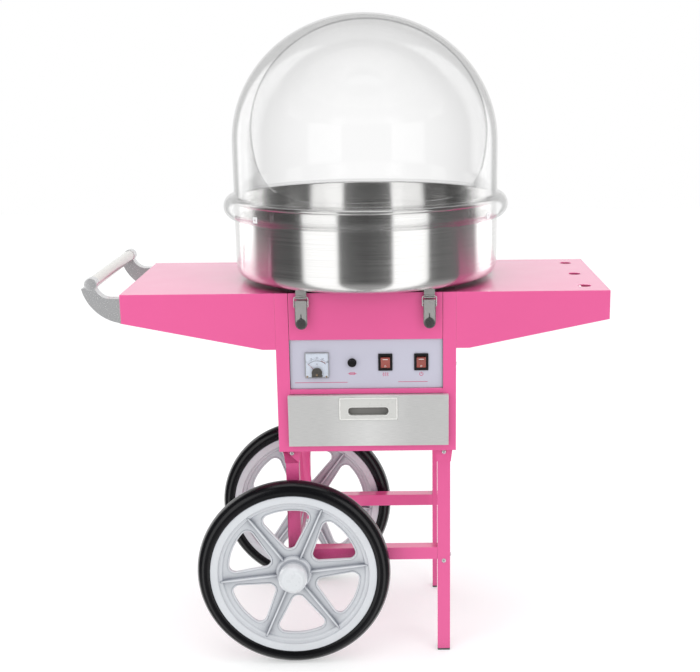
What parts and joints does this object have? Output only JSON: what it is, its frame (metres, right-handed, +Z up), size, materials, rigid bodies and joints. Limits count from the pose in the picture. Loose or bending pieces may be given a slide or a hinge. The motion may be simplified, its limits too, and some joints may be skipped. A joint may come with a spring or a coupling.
{
  "type": "cotton candy machine",
  "caption": "Cart-mounted cotton candy machine: steel bowl under a clear dome with an open front, control panel, drawer, side shelves, two large wheels and a push handle.",
  "frame": {"origin": "on the floor, under the middle of the whole machine; the spinning head's axis crosses the plane Y = 0", "axes": "+X to the operator's right, along the shelves away from the push handle; +Y from the control panel to the back; +Z up"},
  "size_m": [0.9861, 0.562, 1.252],
  "materials": {
    "pink_coat": "satin powder coat",
    "bracket_alloy": "satin cast",
    "cream_coat": "gloss coat",
    "zinc_steel": "zinc plated",
    "chrome_screws": "bright plated",
    "grey_rubber": "matt",
    "wheel_plastic": "fine moulded texture",
    "hub_cap_plastic": "smooth moulded",
    "tyre_black": "satin solid rubber",
    "panel_silver": "fine metallic lacquer",
    "meter_dark": "moulded",
    "dial_white": "printed scale",
    "needle_red": "lacquered",
    "meter_clear": "clear",
    "black_plastic": "moulded",
    "rocker_red": "translucent",
    "latch_steel": "nickel plated",
    "latch_wire": "nickel plated",
    "bowl_stainless": "brushed round the bowl",
    "head_aluminium": "turned",
    "element_wire": "heat stained resistance wire",
    "motor_grey": "satin",
    "brush_brown": "phenolic",
    "dome_clear": "clear, polished",
    "clip_white": "moulded",
    "drawer_steel": "mill",
    "drawer_stainless": "brushed along its width",
    "pull_grey": "satin moulded"
  },
  "bodies": {
    "cart": {"left_side_panel": "pink_coat", "right_side_panel": "pink_coat", "back_panel": "pink_coat", "floor_pan": "pink_coat", "machine_shelf": "pink_coat", "left_shelf": "pink_coat", "right_shelf": "pink_coat", "handle_bracket_front": "bracket_alloy", "handle_bracket_rear": "bracket_alloy", "handle_tube": "cream_coat", "leg_front_left": "pink_coat", "leg_rear_left": "pink_coat", "leg_front_right": "pink_coat", "leg_rear_right": "pink_coat", "crossbar_front": "pink_coat", "crossbar_rear": "pink_coat", "axle": "zinc_steel", "axle_hardware": "zinc_steel", "foot_caps": "grey_rubber", "cart_screws": "chrome_screws", "machine_housing": "pink_coat", "machine_top_plate": "pink_coat", "control_panel": "panel_silver", "voltmeter_case": "meter_dark", "voltmeter_dial": "dial_white", "voltmeter_cover": "meter_clear", "fuse_holder": "black_plastic", "heat_switch_body": "black_plastic", "power_switch_body": "black_plastic", "latch_bases": "latch_steel", "bowl": "bowl_stainless", "bowl_hooks": "latch_steel", "bowl_seat_ring": "grey_rubber", "motor_body": "motor_grey", "motor_bracket": "zinc_steel", "brush_holder": "brush_brown", "power_inlet": "black_plastic"},
    "front_wheel": {"front_wheel_rim": "wheel_plastic", "front_wheel_tyre": "tyre_black", "front_hub_cap": "hub_cap_plastic"},
    "rear_wheel": {"rear_wheel_rim": "wheel_plastic", "rear_wheel_tyre": "tyre_black", "rear_hub_cap": "hub_cap_plastic"},
    "spinner": {"spinner_cup": "head_aluminium", "spinner_lid": "head_aluminium", "heating_element": "element_wire", "spinner_shaft": "zinc_steel"},
    "dome": {"dome": "dome_clear", "dome_clips": "clip_white"},
    "drawer": {"drawer_box": "drawer_steel", "drawer_front": "drawer_stainless", "drawer_pull": "pull_grey"},
    "needle": {"voltmeter_needle": "needle_red"},
    "fuse_cap": {"fuse_cap": "black_plastic"},
    "heat_rocker": {"heat_switch_rocker": "rocker_red"},
    "power_rocker": {"power_switch_rocker": "rocker_red"},
    "left_lever": {"left_latch_lever": "latch_steel"},
    "left_bail": {"left_latch_bail": "latch_wire"},
    "right_lever": {"right_latch_lever": "latch_steel"},
    "right_bail": {"right_latch_bail": "latch_wire"}
  },
  "joints": [
    {"name": "front_wheel_spin", "type": "hinge", "parent": "cart", "child": "front_wheel", "pos_m": [-0.1125, -0.206, 0.189], "axis": [0, 1, 0], "continuous": true},
    {"name": "rear_wheel_spin", "type": "hinge", "parent": "cart", "child": "rear_wheel", "pos_m": [-0.1125, 0.178, 0.189], "axis": [0, 1, 0], "continuous": true},
    {"name": "spinner_spin", "type": "hinge", "parent": "cart", "child": "spinner", "pos_m": [0.035, 0, 0.776], "axis": [0, 0, 1], "continuous": true},
    {"name": "dome_lift", "type": "slide", "parent": "cart", "child": "dome", "axis": [0, 0, 1], "range_m": [0, 0.25]},
    {"name": "drawer_slide", "type": "slide", "parent": "cart", "child": "drawer", "axis": [0, -1, 0], "range_m": [0, 0.24]},
    {"name": "heat_switch_tilt", "type": "hinge", "parent": "cart", "child": "heat_rocker", "pos_m": [0.071, -0.1865, 0.607], "axis": [1, 0, 0], "range_deg": [-18, 0]},
    {"name": "power_switch_tilt", "type": "hinge", "parent": "cart", "child": "power_rocker", "pos_m": [0.139, -0.1865, 0.607], "axis": [1, 0, 0], "range_deg": [-18, 0]},
    {"name": "fuse_cap_turn", "type": "hinge", "parent": "cart", "child": "fuse_cap", "pos_m": [0.008, -0.1885, 0.6065], "axis": [0, -1, 0], "range_deg": [0, 90]},
    {"name": "needle_swing", "type": "hinge", "parent": "cart", "child": "needle", "pos_m": [-0.0585, -0.1927, 0.5886], "axis": [0, 1, 0], "range_deg": [0, 90]},
    {"name": "left_latch_lever_turn", "type": "hinge", "parent": "cart", "child": "left_lever", "pos_m": [-0.0845, -0.203, 0.725], "axis": [-1, 0, 0], "range_deg": [0, 100]},
    {"name": "left_latch_bail_swing", "type": "hinge", "parent": "left_lever", "child": "left_bail", "pos_m": [-0.0845, -0.203, 0.718], "axis": [1, 0, 0], "range_deg": [0, 100]},
    {"name": "right_latch_lever_turn", "type": "hinge", "parent": "cart", "child": "right_lever", "pos_m": [0.1545, -0.203, 0.725], "axis": [-1, 0, 0], "range_deg": [0, 100]},
    {"name": "right_latch_bail_swing", "type": "hinge", "parent": "right_lever", "child": "right_bail", "pos_m": [0.1545, -0.203, 0.718], "axis": [1, 0, 0], "range_deg": [0, 100]}
  ],
  "couplings": [
    {"joint": "left_latch_bail_swing", "follows": "left_latch_lever_turn", "ratio": 1},
    {"joint": "right_latch_bail_swing", "follows": "right_latch_lever_turn", "ratio": 1}
  ]
}
